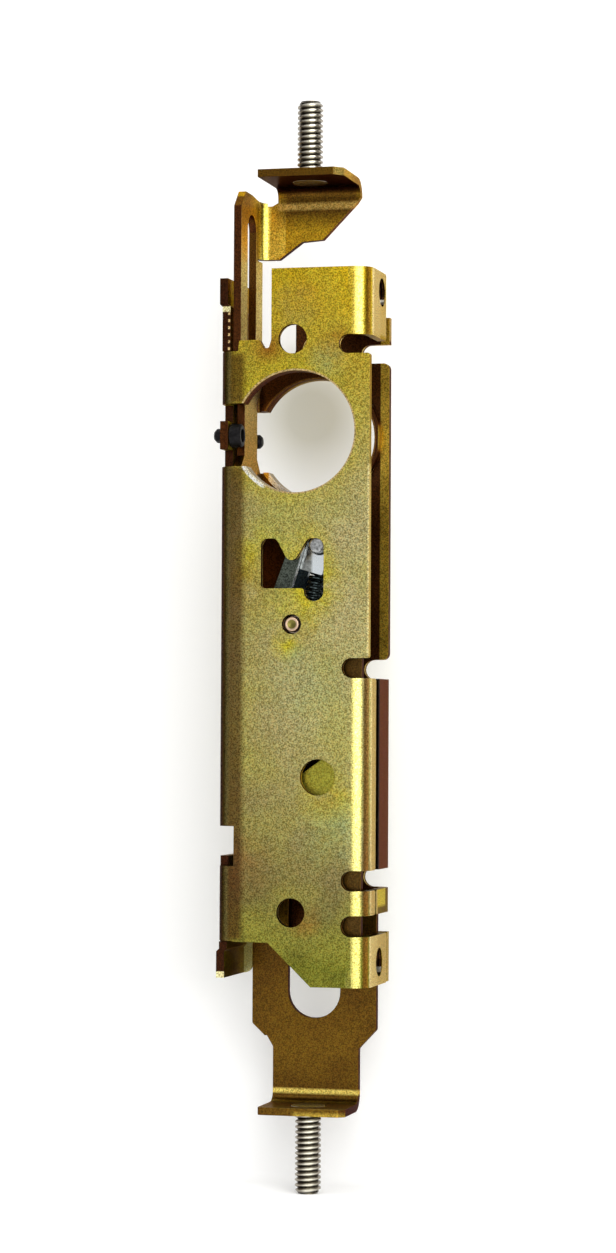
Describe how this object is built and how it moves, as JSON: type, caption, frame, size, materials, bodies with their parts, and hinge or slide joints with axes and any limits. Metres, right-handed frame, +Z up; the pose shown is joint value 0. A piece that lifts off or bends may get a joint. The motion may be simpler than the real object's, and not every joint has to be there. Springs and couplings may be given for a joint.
{
  "type": "two-point deadlock",
  "caption": "Narrow folded-sheet mortise lock case with a round cylinder opening; its sprung lever draws a top and a bottom rod link inwards together.",
  "frame": {"origin": "on the front face of the case's upper fixing tab, on the case's middle plane, 27 mm above the cylinder's axis and 7.5 mm below the tab's screw hole", "axes": "+X out of the case's front edge, +Y away from the near side plate, +Z up along the rods"},
  "size_m": [0.0406, 0.0254, 0.2651],
  "materials": {
    "zinc_gold": "zinc plated, yellow dichromate",
    "zinc_brown": "zinc plated, brown dichromate",
    "zinc_silver": "zinc plated, blue-white",
    "bright_steel": "bright turned steel",
    "black_oxide": "black oxide, oiled"
  },
  "bodies": {
    "case_body": {"case": "zinc_gold", "pivot_pin": "bright_steel", "pivot_bush_near": "bright_steel", "pivot_bush_far": "bright_steel", "clamp_screw_near": "black_oxide", "clamp_screw_far": "black_oxide"},
    "lever_body": {"lever_plate_near": "zinc_silver", "lever_plate_far": "zinc_silver", "lever_hub": "zinc_silver", "lever_spacer_rear": "bright_steel", "lever_spacer_front": "bright_steel", "drive_pin": "bright_steel", "detent_spring": "bright_steel"},
    "top_link_body": {"top_link": "zinc_gold", "top_stud": "bright_steel"},
    "bottom_link_body": {"bottom_link": "zinc_brown", "bottom_link_inner_plate": "zinc_gold", "bottom_stud": "bright_steel", "link_rivet_rear": "bright_steel", "link_rivet_front": "bright_steel"},
    "detent_body": {"detent_block": "zinc_silver", "detent_pin": "bright_steel"}
  },
  "joints": [
    {"name": "lever_turn", "type": "hinge", "parent": "case_body", "child": "lever_body", "pos_m": [-0.019, 0, -0.0733], "axis": [0, -1, 0], "range_deg": [0, 32]},
    {"name": "top_link_slide", "type": "slide", "parent": "case_body", "child": "top_link_body", "axis": [0, 0, -1], "range_m": [0, 0.0076]},
    {"name": "bottom_link_slide", "type": "slide", "parent": "case_body", "child": "bottom_link_body", "axis": [0, 0, 1], "range_m": [0, 0.0076]},
    {"name": "detent_press", "type": "slide", "parent": "lever_body", "child": "detent_body", "axis": [-0.2756, 0, -0.9613], "range_m": [0, 0.006], "stiffness_N_per_m": 300, "springref_m": -0.004, "deforming": ["detent_spring"]}
  ],
  "couplings": [
    {"joint": "top_link_slide", "follows": "lever_turn", "m_per_rad": 0.01342},
    {"joint": "bottom_link_slide", "follows": "lever_turn", "m_per_rad": 0.01342}
  ]
}
